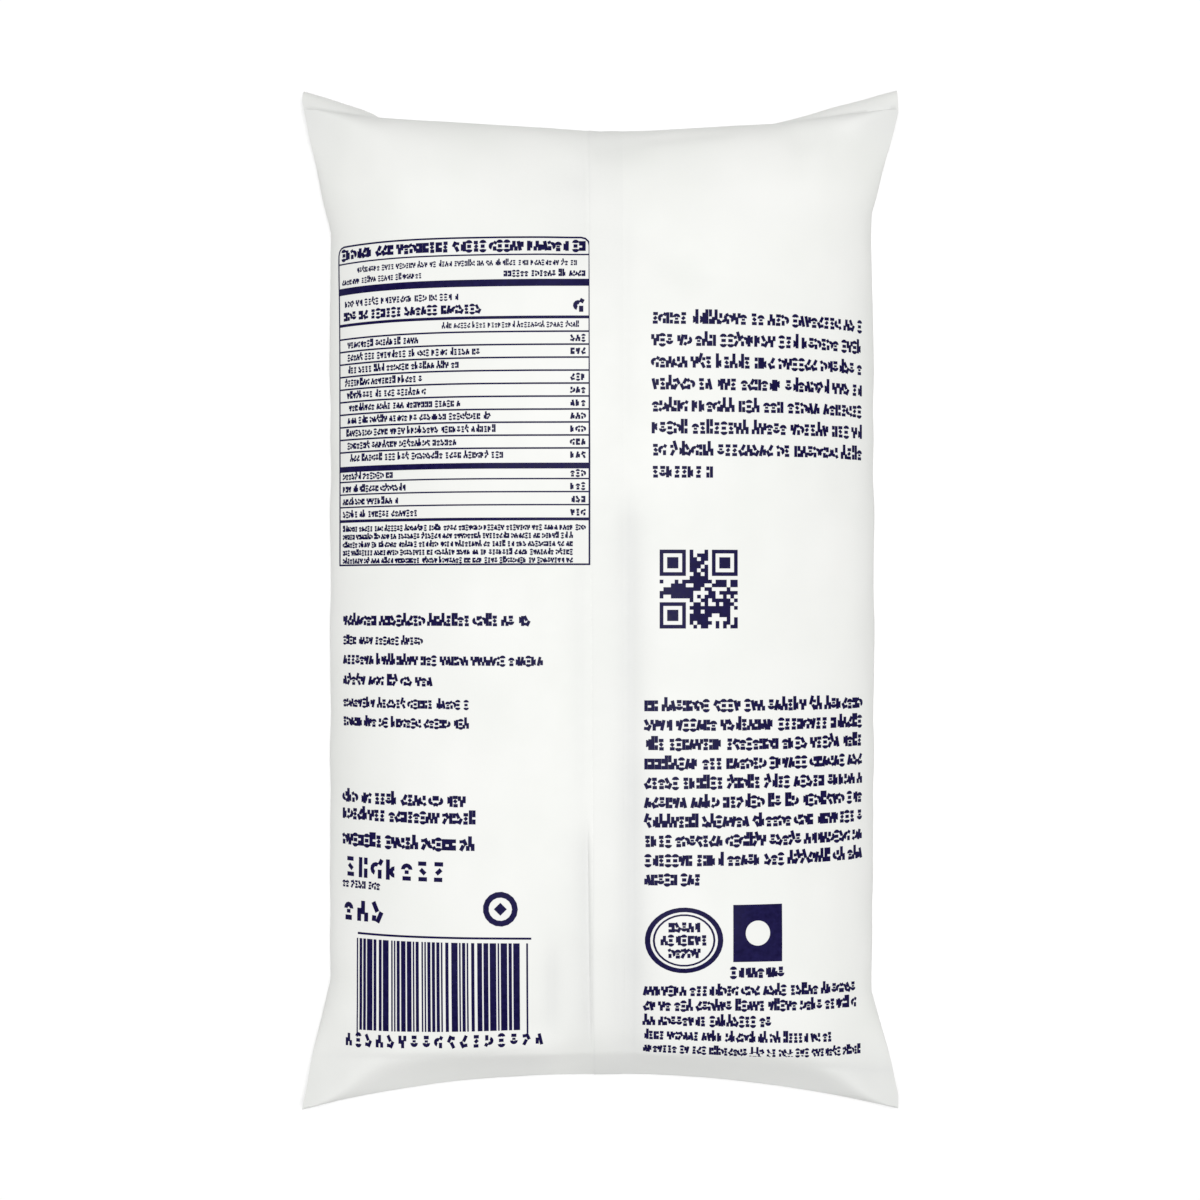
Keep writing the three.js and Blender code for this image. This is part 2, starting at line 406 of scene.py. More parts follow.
def fin_skin(share, along, turn, upper):
    """Points of an end fin, bent down from the seal to its free edge at turn 1."""
    side = np.abs(share)
    seal = seal_distance(share, along)
    in_ear = ramp(side, by_corner("onset", share, along), 1) ** by_corner("fin_power", share, along)
    reach = lerp(FIN_LEAST_REACH, by_corner("ear_reach", share, along), in_ear)
    drop = np.sqrt(FIN_HEIGHT ** 2 - reach ** 2) * lerp(1, by_corner("droop", share, along), in_ear)
    angle = lerp(FIN_START, math.pi / 2, turn)
    gone_out = (np.sin(angle) - math.sin(FIN_START)) / (1 - math.sin(FIN_START))
    gone_down = 1 - np.cos(angle) / math.cos(FIN_START)
    outward, upward = drop * np.sin(angle), reach * np.cos(angle)
    sheet = (1 if upper else -1) * FILM_EDGE / 2
    ripple = waves(share * 70, along * 40, FIN_RIPPLE_LENGTH, 31)
    ripple = FIN_RIPPLE * turn * (1 - smooth(side, 0.9, 1.0)) * ripple
    offset = (sheet + ripple) / np.hypot(outward, upward)
    offset = offset * smooth(turn, -0.2, 0.15)
    distance = seal + reach * gone_out + offset * outward
    z = EDGE_HEIGHT + EAR_LIFT * side ** 2 - drop * gone_down + offset * upward
    y = np.sign(along) * distance
    return across(share, y), y, z


def skin(share, along, upper=True):
    """Points of the film. share runs across from -1 to 1. along runs from -1 to 1 between the end
    seals, and on from there by FIN_SPAN over each fin."""
    share, along = np.broadcast_arrays(np.asarray(share, float), np.asarray(along, float))
    on_fin = np.abs(along) > 1
    body = body_skin(share, np.clip(along, -1, 1), upper)
    turn = ramp(np.abs(along), 1, 1 + FIN_SPAN)
    fin = fin_skin(share, along, turn, upper)
    return np.stack([np.where(on_fin, f, b) for f, b in zip(fin, body)], axis=-1)


# ---------------------------------------------------------------- meshes

SHARP_ANGLE = math.radians(50)       # edges sharper than this aren't smoothed
FILM_COLUMNS, FILM_ROWS, FIN_ROWS = 140, 230, 9
ACROSS_CROWD, ALONG_CROWD = 0.8, 0.7         # how much they crowd towards the pack's edges
EDGE_COLUMN = 0.3                    # width of the extra columns where the flap's free edge runs


def make_object(name, points, faces, material):
    """A mesh object from points in millimetres, riding on the pack."""
    mesh = bpy.data.meshes.new(name)
    mesh.from_pydata((np.asarray(points) * MM).tolist(), [], faces)
    mesh.validate()
    mesh.polygons.foreach_set("use_smooth", [True] * len(mesh.polygons))
    mesh.set_sharp_from_angle(angle=SHARP_ANGLE)
    mesh.materials.append(material)
    piece = bpy.data.objects.new(name, mesh)
    bpy.context.scene.collection.objects.link(piece)
    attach(piece, BODY)
    return piece


# Writes the attribute that greys the film, where no salt backs it and where shade is painted.
def set_cover_and_shade(piece, values):
    attribute = piece.data.attributes.new("cover_and_shade", "FLOAT", "POINT")
    attribute.data.foreach_set("value", np.ravel(values))


def slab_faces(columns, rows, first=0):
    """Quads of a closed slab: an upper and a lower grid of points, joined round the rim."""
    size = (columns + 1) * (rows + 1)

    def at(i, j, layer):
        return first + layer * size + i * (rows + 1) + j

    faces = []
    for i in range(columns):
        for j in range(rows):
            upper = [at(i, j, 0), at(i + 1, j, 0), at(i + 1, j + 1, 0), at(i, j + 1, 0)]
            faces.append(upper)
            faces.append([k + size for k in reversed(upper)])
    for i in range(columns):
        faces.append([at(i + 1, 0, 0), at(i, 0, 0), at(i, 0, 1), at(i + 1, 0, 1)])
        faces.append([at(i, rows, 0), at(i + 1, rows, 0), at(i + 1, rows, 1), at(i, rows, 1)])
    for j in range(rows):
        k = columns
        faces.append([at(0, j, 0), at(0, j + 1, 0), at(0, j + 1, 1), at(0, j, 1)])
        faces.append([at(k, j + 1, 0), at(k, j, 0), at(k, j, 1), at(k, j + 1, 1)])
    return faces


def crowd(t, strength):
    """An even run from -1 to 1, crowded towards both ends."""
    return lerp(t, np.sin(t * math.pi / 2), strength)


def film_grid():
    """Shares and places along the pack, with more columns where the flap's free edge runs."""
    share = crowd(np.linspace(-1, 1, FILM_COLUMNS + 1), ACROSS_CROWD)
    near_edge = np.arange(min(FLAP_LEFT) - 1, max(FLAP_LEFT) + 1, EDGE_COLUMN)
    share = np.union1d(share, near_edge / BODY_HALF_WIDTH)
    along = crowd(np.linspace(-1, 1, FILM_ROWS + 1), ALONG_CROWD)
    fin = 1 + FIN_SPAN * np.arange(1, FIN_ROWS + 1) / FIN_ROWS
    along = np.concatenate([-fin[::-1], along, fin])
    return np.meshgrid(share, along, indexing="ij")


def make_film(material):
    """The whole pack's film, as one closed skin."""
    share, along = film_grid()
    layers = [skin(share, along, upper).reshape(-1, 3) for upper in (True, False)]
    faces = slab_faces(share.shape[0] - 1, share.shape[1] - 1)
    film = make_object("film", np.concatenate(layers), faces, material)
    # Grey where no salt backs the film, and painted shade in folds, ears, end bands, the right side
    # and beside the flap's edge.
    set_cover_and_shade(film, [cover_and_shade(share, along)] * 2)
    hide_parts(NODE)


# ---------------------------------------------------------------- a flat chart of the upper panel

CHART_ROWS, CHART_COLUMNS = 160, 240
CHART_SHARES = 601                   # how finely the film is measured across
CHART_LONG = 0.985                   # the chart stops just short of the end seals
CHART_HALF_WIDTH = 72.0              # as far across as print can reach
CHART_EVEN = 80.0


def make_chart():
    """Shares across the pack for film distances from its middle line, one row for each y.

    The print keeps its width where the ears flare, so the film is measured no nearer the ends
    than CHART_EVEN."""
    top = CHART_LONG * min(TOP_END["middle"])
    bottom = CHART_LONG * min(BOTTOM_END["middle"])
    rows = np.linspace(-bottom, top, CHART_ROWS)
    distances = np.linspace(-CHART_HALF_WIDTH, CHART_HALF_WIDTH, CHART_COLUMNS)
    shares = np.linspace(-1, 1, CHART_SHARES)
    chart = []
    for y in rows:
        even = np.full_like(shares, np.clip(y, -CHART_EVEN, CHART_EVEN))
        x = across(shares, even)
        z = lerp(EDGE_HEIGHT, THICKNESS, upper_rise(shares, even / seal_distance(shares, even)))
        length = np.concatenate([[0], np.cumsum(np.hypot(np.diff(x), np.diff(z)))])
        length -= np.interp(0, x, length)
        places = np.interp(distances, length, x)
        chart.append(np.interp(places, across(shares, np.full_like(shares, y)), shares))
    return rows, distances, np.array(chart)


CHART = make_chart()


def chart_share(s, y):
    """Share across the pack at film distance s from the middle line."""
    rows, distances, chart = CHART
    i = np.clip((y - rows[0]) / (rows[1] - rows[0]), 0, len(rows) - 1.001)
    j = np.clip((s - distances[0]) / (distances[1] - distances[0]), 0, len(distances) - 1.001)
    i0, j0 = i.astype(int), j.astype(int)
    low = lerp(chart[i0, j0], chart[i0, j0 + 1], j - j0)
    high = lerp(chart[i0 + 1, j0], chart[i0 + 1, j0 + 1], j - j0)
    return lerp(low, high, i - i0)


def on_panel(s, y):
    """The point of the upper panel at film distance s across and y along."""
    share = chart_share(s, y)
    draw = SIDE_DRAW * share ** 4 * (1 - smooth(-y, -DRAW_FADES, -DRAW_GONE))
    sag = BOTTOM_SAG * smooth(-y, -SAG_STARTS, -SAG_FULL)
    drawn = y * (1 - draw) - sag * smooth(np.abs(share), *SAG_SHARES)
    return skin(share, drawn / seal_distance(share, drawn))


def above(place, s, y, height, step=0.05):
    """Points at a height over a sheet, square to it."""
    here = place(s, y)
    normal = np.cross(place(s + step, y) - here, place(s, y + step) - here)
    normal /= np.linalg.norm(normal, axis=-1, keepdims=True)
    return here + normal * np.asarray(height)[..., None]


# ---------------------------------------------------------------- the seam flap

FLAP_COLUMNS, FLAP_ROWS = 18, 300
FLAP_CROWD = 1.8                     # how much the columns crowd towards its free edge
FLAP_ROOT_FROM = 0.6                 # the share across from which it thins out to its root
FLAP_SUNK = 0.03                     # how deep its front lies in the film at its root
FLAP_BACK = -0.1                     # and how high its back lies all over, so in the film too
FLAP_SHADED = 0.94                       # how white it is beside backed film: greyer, as painted shade on the flap
FLAP_SHADE_AT_ENDS = (0.07, 0.06)          # and how much greyer still towards the top and the bottom


def make_flap(material):
    """The seam's flap of doubled film, from its root at the right to a free edge that lifts."""
    t = np.linspace(0, 1, FLAP_COLUMNS + 1) ** FLAP_CROWD
    along = np.linspace(-1 - FIN_SPAN, 1 + FIN_SPAN, FLAP_ROWS + 1)
    t, along = np.meshgrid(t, along, indexing="ij")
    y = along * HALF_LENGTH
    x = lerp(flap_edge(along), FLAP_RIGHT + FLAP_WANDER * waves(y, 0 * y, 80, 43), t)
    lift = (1 - t) ** 3 * flap_lift(along)
    thinned = 1 - smooth(t, FLAP_ROOT_FROM, 1.0)
    front = (lift + FLAP_THICKNESS) * thinned - FLAP_SUNK
    back = np.full_like(t, FLAP_BACK)

    def place(across_mm, long):
        return skin(across_mm / BODY_HALF_WIDTH, long)

    points = [above(place, x, along, h, step=0.002).reshape(-1, 3) for h in (front, back)]
    faces = slab_faces(FLAP_COLUMNS, FLAP_ROWS)
    flap = make_object("seam_flap", np.concatenate(points), faces, material)
    # Painted shade: the flap is made greyer than the film beside it, more so towards its ends.
    at_top, at_bottom = smooth(along, 0.5, 0.7), smooth(-along, 0.5, 0.8)
    flap_shade_factor = FLAP_SHADED - FLAP_SHADE_AT_ENDS[0] * at_top - FLAP_SHADE_AT_ENDS[1] * at_bottom
    set_cover_and_shade(flap, [cover_and_shade(x / BODY_HALF_WIDTH, along) * flap_shade_factor] * 2)


# ---------------------------------------------------------------- print

INK_ABOVE, INK_BELOW = 0.05, -0.12   # the slabs' faces over and under the film
INK_STEP = 1.6                       # longest side of a cell, so that ink follows the film
ARC_STEP = math.radians(32)          # widest turn of a cell in a ring


class Print:
    """Ink marks in film millimetres, gathered into one piece."""

    def __init__(self, name):
        self.name = name
        self.points = []
        self.faces = []
        self.count = 0

    def patch(self, shape, columns, rows):
        """A mark: shape takes two shares from 0 to 1 and gives places on the film."""
        a, b = (np.linspace(0, 1, count + 1) for count in (columns, rows))
        a, b = np.meshgrid(a, b, indexing="ij")
        s, y = shape(a.ravel(), b.ravel())
        self.points.append(np.stack([s, y], axis=1))
        self.faces += slab_faces(columns, rows, self.count)
        self.count += 2 * len(s)

    def bar(self, s0, s1, y0, y1):
        columns = max(1, math.ceil(abs(s1 - s0) / INK_STEP))
        rows = max(1, math.ceil(abs(y1 - y0) / INK_STEP))
        self.patch(lambda a, b: (lerp(s0, s1, a), lerp(y0, y1, b)), columns, rows)

    def stroke(self, start, end, width):
        """A straight bar from one point to another."""
        start, end = np.array(start, float), np.array(end, float)
        along = end - start
        side = np.array([-along[1], along[0]]) / np.hypot(*along) * width / 2
        rows = max(1, math.ceil(width / INK_STEP))
        columns = max(1, math.ceil(np.hypot(*along) / INK_STEP))

        def shape(a, b):
            points = start + along * a[:, None] + side * (2 * b[:, None] - 1)
            return points[:, 0], points[:, 1]

        self.patch(shape, columns, rows)

    def ring(self, centre, inner, outer, start=0.0, end=360.0, squash=1.0):
        """Part of a ring, in degrees anticlockwise from the right."""
        span = math.radians(end - start)
        columns = max(2, math.ceil(span / ARC_STEP), math.ceil(span * outer / INK_STEP))
        rows = max(1, math.ceil((outer - inner) / INK_STEP))

        def shape(a, b):
            angle = math.radians(start) + span * (1 - a)
            radius = lerp(inner, outer, b)
            return centre[0] + radius * np.cos(angle), centre[1] + squash * radius * np.sin(angle)

        self.patch(shape, columns, rows)

    def make(self, material):
        layers = [(cells, height) for cells in self.points for height in (INK_ABOVE, INK_BELOW)]
        flat = np.concatenate([cells for cells, _ in layers])
        heights = np.concatenate([np.full(len(cells), height) for cells, height in layers])
        points = above(on_panel, flat[:, 0], flat[:, 1], heights)
        make_object(self.name, points, self.faces, material)


# Marks that stand in the place of lettering and spell nothing, each a few loose strokes in a cell
# 1 high. Four numbers are a straight stroke's ends, and five are an arc's centre, its radius, and
# the angles where it starts and ends, in degrees.
MARKS = [
    [(0.10, 0.0, 0.10, 1.0), (0.46, 0.40, 0.18, 90, 270)],
    [(0.30, 0.56, 0.20, 0, 180), (0.08, 0.12, 0.52, 0.12), (0.30, 0.34, 0.30, 0.52)],
    [(0.08, 0.02, 0.30, 0.98), (0.46, 0.08, 0.46, 0.62)],
    [(0.14, 0.0, 0.14, 1.0), (0.46, 0.0, 0.46, 0.46), (0.46, 0.66, 0.46, 1.0)],
    [(0.10, 0.0, 0.10, 0.64), (0.34, 0.34, 0.34, 1.0), (0.54, 0.0, 0.54, 0.44)],
    [(0.24, 0.50, 0.22, 60, 250), (0.46, 0.02, 0.46, 0.46), (0.44, 0.70, 0.58, 0.96)],
    [(0.06, 0.88, 0.50, 0.88), (0.16, 0.62, 0.40, 0.40), (0.10, 0.12, 0.52, 0.12)],
    [(0.06, 1.0, 0.30, 0.52), (0.54, 0.52, 0.30, 0.0), (0.10, 0.06, 0.12, 0.34)],
    [(0.28, 0.22, 0.20, 190, 350), (0.28, 0.78, 0.20, 10, 170), (0.10, 0.50, 0.50, 0.50)],
]
MARK_WIDTH = 0.6                     # all in heights of a mark
ADVANCE = 0.68                       # from one mark to the next
WORD_GAP = 0.36
STROKE = 0.26
BOLD = 0.31
REACH = 0.3                          # how much higher a tall mark's strokes reach
FLIP_ACROSS, FLIP_UP = 0.5, 0.35     # how often a mark is turned over


def mark(ink, s, y, height, weight, reach, rng):
    """One mark at random, and often turned over, its lower left corner at s and y."""
    width = weight * height
    flip_x, flip_y = rng.rand(2) < (FLIP_ACROSS, FLIP_UP)
    for numbers in MARKS[rng.randint(len(MARKS))]:
        if len(numbers) == 5:
            x0, y0, radius, start, end = numbers
            if flip_x:
                x0, start, end = MARK_WIDTH - x0, 180 - end, 180 - start
            if flip_y:
                y0, start, end = 1 - y0, -end, -start
            centre = (s + x0 * height, y + y0 * height)
            ink.ring(centre, radius * height - width / 2, radius * height + width / 2, start, end)
        else:
            x0, y0, x1, y1 = numbers
            if flip_x:
                x0, x1 = MARK_WIDTH - x0, MARK_WIDTH - x1
            if flip_y:
                y0, y1 = 1 - y0, 1 - y1
            y1 += reach if y1 == 1.0 else 0.0
            start, end = (s + x0 * height, y + y0 * height), (s + x1 * height, y + y1 * height)
            ink.stroke(start, end, width)


def mark_row(ink, s0, s1, y, height, rng, weight=STROKE, tall=0.5, advance=ADVANCE, words=True):
    """A row of marks in groups, from s0 to s1 with its middle at y.

    The weight is a stroke's breadth in heights, and tall is the share of marks that reach up."""
    places = []
    s, left = 0.0, rng.randint(2, 9)
    while s * height < s1 - s0 - 0.5 * advance * height:
        places.append(s)
        s += advance
        left -= 1
        if left == 0 and words:
            s += WORD_GAP
            left = rng.randint(2, 9)
    fit = (s1 - s0 - MARK_WIDTH * height) / (places[-1] * height) if len(places) > 1 else 1.0
    for place in places:
        reach = REACH if rng.rand() < tall else 0.0
        mark(ink, s0 + place * height * fit, y - height / 2, height, weight, reach, rng)


# Print is placed in millimetres on the film: across from the seam, and along from the middle.
TABLE_LEFT, TABLE_RIGHT = -67.1, -2.3
TABLE_TOP, TABLE_BOTTOM = 86.9, 8.3
TABLE_CORNER = 2.2
TABLE_LINE = 0.42
TABLE_TEXT = TABLE_LEFT + 1.4        # where its rows start and end
TABLE_END = TABLE_RIGHT - 1.2
COLUMN_START = -7.0                  # the narrow right hand column
TABLE_MAIN = (62.4, 3.09, 10)        # rows of the main section: first place, spacing and number
TABLE_MAIN_BARE = 2                  # the row with nothing in the right hand column
TABLE_MAIN_OUT = (3, 4)              # rows that aren't indented
TABLE_INDENT = 1.2
TABLE_LOWER = (30.2, 3.1, 4)
TABLE_NOTES = (17.3, 1.95, 5)


def table_frame(ink):
    left, right, top, bottom = TABLE_LEFT, TABLE_RIGHT, TABLE_TOP, TABLE_BOTTOM
    line, corner = TABLE_LINE, TABLE_CORNER
    ink.bar(left + corner, right - corner, top - line, top)
    ink.bar(left, right, bottom, bottom + line)
    ink.bar(left, left + line, bottom + line, top - corner)
    ink.bar(right - line, right, bottom + line, top - corner)
    ink.ring((left + corner, top - corner), corner - line, corner, 90, 180)
    ink.ring((right - corner, top - corner), corner - line, corner, 0, 90)


def table_rule(ink, y, weight):
    ink.bar(TABLE_LEFT + TABLE_LINE, TABLE_RIGHT - TABLE_LINE, y - weight / 2, y + weight / 2)


def make_table(material):
    """A ruled panel of rows, with thick bars between its sections."""
    ink = Print("print_table")
    rng = np.random.RandomState(7)
    table_frame(ink)
    mark_row(ink, TABLE_TEXT, TABLE_END, 84.6, 2.4, rng, 0.35, tall=0)
    table_rule(ink, 82.5, 0.35)
    mark_row(ink, TABLE_TEXT + 5, TABLE_END - 2, 80.5, 1.25, rng)
    mark_row(ink, TABLE_TEXT, -43, 77.9, 1.25, rng)
    mark_row(ink, -23, TABLE_END, 77.9, 1.4, rng, BOLD)
    table_rule(ink, 75.7, 1.7)
    mark_row(ink, TABLE_TEXT + 1, -34, 72.5, 1.5, rng)
    mark_row(ink, TABLE_TEXT + 0.5, -28.5, 69.5, 2.1, rng, BOLD, tall=0)
    mark_row(ink, -6.0, -3.4, 70.2, 3.3, rng, BOLD, tall=0, words=False)
    table_rule(ink, 67.4, 0.7)
    mark_row(ink, -38, TABLE_END - 1.5, 65.6, 1.2, rng)
    first, spacing, count = TABLE_MAIN
    for i in range(count):
        y = first - spacing * i
        table_rule(ink, y + 1.6, 0.4)
        start = TABLE_TEXT + rng.uniform(0, 1.5) + (TABLE_INDENT if i not in TABLE_MAIN_OUT else 0)
        mark_row(ink, start, rng.uniform(-46, -22), y, 1.45, rng, 0.29)
        if i != TABLE_MAIN_BARE:
            mark_row(ink, COLUMN_START, TABLE_END, y, 1.55, rng, 0.32, tall=0, words=False)
    table_rule(ink, 32.0, 1.4)
    first, spacing, count = TABLE_LOWER
    for i in range(count):
        y = first - spacing * i
        mark_row(ink, TABLE_TEXT, rng.uniform(-52, -40), y, 1.45, rng, 0.29)
        mark_row(ink, COLUMN_START, TABLE_END, y, 1.55, rng, 0.32, tall=0, words=False)
        if i < count - 1:
            table_rule(ink, y - 1.3, 0.35)
    table_rule(ink, 19.3, 0.7)
    first, spacing, count = TABLE_NOTES
    for i in range(count):
        mark_row(ink, TABLE_TEXT, TABLE_END - (3 if i else 0), first - spacing * i, 1.2, rng, 0.34)
    ink.make(material)


# Rows of the left panel under the table: right end, place, height and weight of marks.
LEFT_ROWS = [
    (-16.7, -5.0, 2.4, 0.31),
    (-43.0, -9.9, 1.8, 0.29),
    (-13.6, -14.6, 2.2, 0.30),
    (-40.5, -19.6, 2.2, 0.31),
    (-31.5, -25.1, 2.0, 0.30),
    (-31.5, -29.7, 2.1, 0.31),
    (-32.3, -48.2, 2.6, 0.31),
    (-29.8, -52.3, 2.6, 0.31),
    (-30.2, -58.6, 2.7, 0.34),
    (-54.0, -69.4, 1.8, 0.27),
]
LEFT_START = -65.6
LEFT_ADVANCE = 0.62


def make_left_rows(material):
    """The rows under the table, and two rows of larger, lighter marks."""
    ink = Print("print_left_rows")
    rng = np.random.RandomState(19)
    for end, y, height, weight in LEFT_ROWS:
        mark_row(ink, LEFT_START, end, y, height, rng, weight, advance=LEFT_ADVANCE)
    mark_row(ink, LEFT_START + 1.2, -37.4, -65.2, 4.9, rng, 0.21, tall=0, advance=0.78)
    start = LEFT_START + 0.8
    mark_row(ink, start, -53.2, -75.6, 4.8, rng, 0.24, tall=0, advance=0.80, words=False)
    ink.make(material)


RIGHT_START, RIGHT_END = 12.4, 66.9
RIGHT_ADVANCE = 0.63
# Two blocks of rows: start, the last row's end, first place, spacing, number, height and weight.
RIGHT_BLOCKS = (
    (RIGHT_START, 27.0, 67.2, 5.24, 8, 2.7, 0.28),
    (RIGHT_START - 1.8, 24.0, -25.2, 4.62, 10, 2.6, 0.31),
)
# Rows along the bottom: right end, place and height.
BOTTOM_ROWS = (
    (64.3, -93.6, 2.3),
    (64.6, -97.3, 2.3),
    (41.2, -101.0, 2.2),
    (57.0, -104.6, 2.0),
    (66.0, -108.0, 1.8),
)


def make_right_rows(material):
    """Two blocks of bold rows, and smaller rows along the bottom."""
    ink = Print("print_right_rows")
    rng = np.random.RandomState(23)
    for start, last_end, first, spacing, count, height, weight in RIGHT_BLOCKS:
        for i in range(count):
            end = RIGHT_END if i < count - 1 else last_end
            y = first - spacing * i
            mark_row(ink, start, end, y, height, rng, weight, advance=RIGHT_ADVANCE)
    for end, y, height in BOTTOM_ROWS:
        mark_row(ink, RIGHT_START - 2.0, end, y, height, rng, BOLD, advance=RIGHT_ADVANCE)
    ink.make(material)


BLOCK_MODULES = 21
BLOCK_LEFT, BLOCK_TOP, BLOCK_SIZE = 14.2, 12.0, 18.8
BLOCK_FILLED = 0.63                  # share of the modules between the corner squares
FINDER = 7                           # modules across a corner square


def make_code_block(material):
    """A square of random modules with three corner squares. It holds no message."""
    ink = Print("print_code_block")
    rng = np.random.RandomState(31)
    module = BLOCK_SIZE / BLOCK_MODULES
    far = BLOCK_MODULES - FINDER
    finders = ((0, 0), (far, 0), (0, far))
    half = FINDER // 2

    def cells(column, row, wide, high):
        s0, y0 = BLOCK_LEFT + column * module, BLOCK_TOP - row * module
        ink.bar(s0, s0 + wide * module, y0 - high * module, y0)

    def near_finder(column, row):
        """Whether a module is in a corner square or in the clear strip round it."""
        return any(max(abs(column - c - half), abs(row - r - half)) < half + 2 for c, r in finders)

    for column, row in finders:
        cells(column, row, FINDER, 1)
        cells(column, row + FINDER - 1, FINDER, 1)
        cells(column, row + 1, 1, FINDER - 2)
        cells(column + FINDER - 1, row + 1, 1, FINDER - 2)
        cells(column + 2, row + 2, 3, 3)
    for row in range(BLOCK_MODULES):
        run = 0
        for column in range(BLOCK_MODULES + 1):
            free = column < BLOCK_MODULES and not near_finder(column, row)
            if free and rng.rand() < BLOCK_FILLED:
                run += 1
            elif run:
                cells(column - run, row, run, 1)
                run = 0
    ink.make(material)


CODE_LEFT, CODE_RIGHT = -60.6, -17.2
CODE_TOP, CODE_BOTTOM = -82.0, -103.2
CODE_MODULE = 0.43
BAR_MODULES = (1, 1, 2, 2, 3, 4)     # widths to draw from
GAP_MODULES = (0.8, 0.8, 0.8, 1.6)
BAR_SHRINK = 0.9


def make_bar_code(material):
    """Upright bars of random widths under a thin rule, over a row of spaced marks."""
    ink = Print("print_bars")
    rng = np.random.RandomState(37)
    s = CODE_LEFT
    ink.bar(s, s + BAR_SHRINK * CODE_MODULE, CODE_BOTTOM - 1.6, CODE_TOP)
    s += 2 * CODE_MODULE
    while s < CODE_RIGHT - 4 * CODE_MODULE:
        width = CODE_MODULE * rng.choice(BAR_MODULES) * BAR_SHRINK
        ink.bar(s, s + width, CODE_BOTTOM, CODE_TOP)
        s += width + CODE_MODULE * rng.choice(GAP_MODULES)
    ink.bar(CODE_RIGHT - CODE_MODULE, CODE_RIGHT, CODE_BOTTOM - 0.8, CODE_TOP)
    ink.bar(CODE_LEFT + 0.3, CODE_RIGHT + 0.8, CODE_TOP + 0.9, CODE_TOP + 1.4)
    y = CODE_BOTTOM - 2.3
    mark_row(ink, -64.0, -13.8, y, 2.8, rng, 0.28, tall=0, advance=1.08, words=False)
    ink.make(material)


RING_CENTRE = np.array([-23.8, -73.8])
RING_INNER, RING_OUTER = 2.8, 4.2
RING_SQUARE = 2.2                    # side of the square in the ring


def make_ring(material):
    """A plain ring round a small square turned on its corner."""
    ink = Print("print_ring")
    ink.ring(RING_CENTRE, RING_INNER, RING_OUTER)
    corner = RING_SQUARE / math.sqrt(8)
    ink.stroke(RING_CENTRE - corner, RING_CENTRE + corner, RING_SQUARE)
    ink.make(material)


OVAL_CENTRE = (20.1, -81.3)
OVAL_SQUASH = 0.84                   # height over width
OVAL_LINES = ((8.1, 9.4), (7.0, 7.5))  # inner and outer half widths
OVAL_ROWS = ((3.7, 3.1), (5.5, 0.0), (3.7, -3.1))  # half length, and place above the centre


def make_oval(material):
    """A plain oval of two lines round three rows of marks."""
    ink = Print("print_oval")
    rng = np.random.RandomState(43)
    for inner, outer in OVAL_LINES:
        ink.ring(OVAL_CENTRE, inner, outer, squash=OVAL_SQUASH)
    for half, up in OVAL_ROWS:
        s, y = OVAL_CENTRE[0], OVAL_CENTRE[1] + up
        mark_row(ink, s - half, s + half, y, 2.3, rng, 0.33, tall=0, words=False)
    ink.make(material)


SQUARE_LOW, SQUARE_HIGH = np.array([31.9, -86.6]), np.array([43.9, -72.9])
SQUARE_DISC = 3.0                    # radius of the light disc
SQUARE_ROW = -89.2                   # where the row under it runs


def make_square(material):
    """A plain dark square round a light disc, with a short bold row under it."""
    ink = Print("print_square")
    centre = (SQUARE_LOW + SQUARE_HIGH) / 2
    half = (SQUARE_HIGH - SQUARE_LOW) / 2
    corners = [centre + half * sign for sign in ((1, 1), (-1, 1), (-1, -1), (1, -1))]

    def side(start, end):
        """The part of the square between one side and the disc."""
        def shape(a, b):
            rim = start + (end - start) * (1 - a)[:, None]
            out = rim - centre
            disc = centre + SQUARE_DISC * out / np.linalg.norm(out, axis=1, keepdims=True)
            points = disc + (rim - disc) * b[:, None]
            return points[:, 0], points[:, 1]
        return shape

    for start, end in zip(corners, corners[1:] + corners[:1]):
        ink.patch(side(start, end), 12, 3)
    rng = np.random.RandomState(5)
    left, right = SQUARE_LOW[0] - 0.6, SQUARE_HIGH[0] + 0.4
    mark_row(ink, left, right, SQUARE_ROW, 2.4, rng, 0.36, tall=0, words=False)
    ink.make(material)


# ---------------------------------------------------------------- materials


def new_material(name):
    material = bpy.data.materials.new(name)
    material.use_nodes = True
    nodes = material.node_tree.nodes
    return material, nodes, material.node_tree.links, nodes["Principled BSDF"]


def noise(nodes, links, coordinates, scale, detail):
    node = nodes.new("ShaderNodeTexNoise")
    node.inputs["Scale"].default_value = scale
    node.inputs["Detail"].default_value = detail
    links.new(coordinates.outputs["Object"], node.inputs["Vector"])
    return node


def colour_ramp(nodes, links, source, low, high):
    """A blend between two colours, each with the value of the source where it is reached."""
    node = nodes.new("ShaderNodeValToRGB")
    for element, (position, colour) in zip(node.color_ramp.elements, (low, high)):
        element.position = position
        element.color = (*colour, 1)
    links.new(source, node.inputs["Fac"])
    return node


def grey(value):
    return (value, value, value)


def add_bump(nodes, links, height, distance, strength, after=None):
    node = nodes.new("ShaderNodeBump")
    node.inputs["Distance"].default_value = distance
    node.inputs["Strength"].default_value = strength
    links.new(height, node.inputs["Height"])
    if after is not None:
        links.new(after.outputs["Normal"], node.inputs["Normal"])
    return node


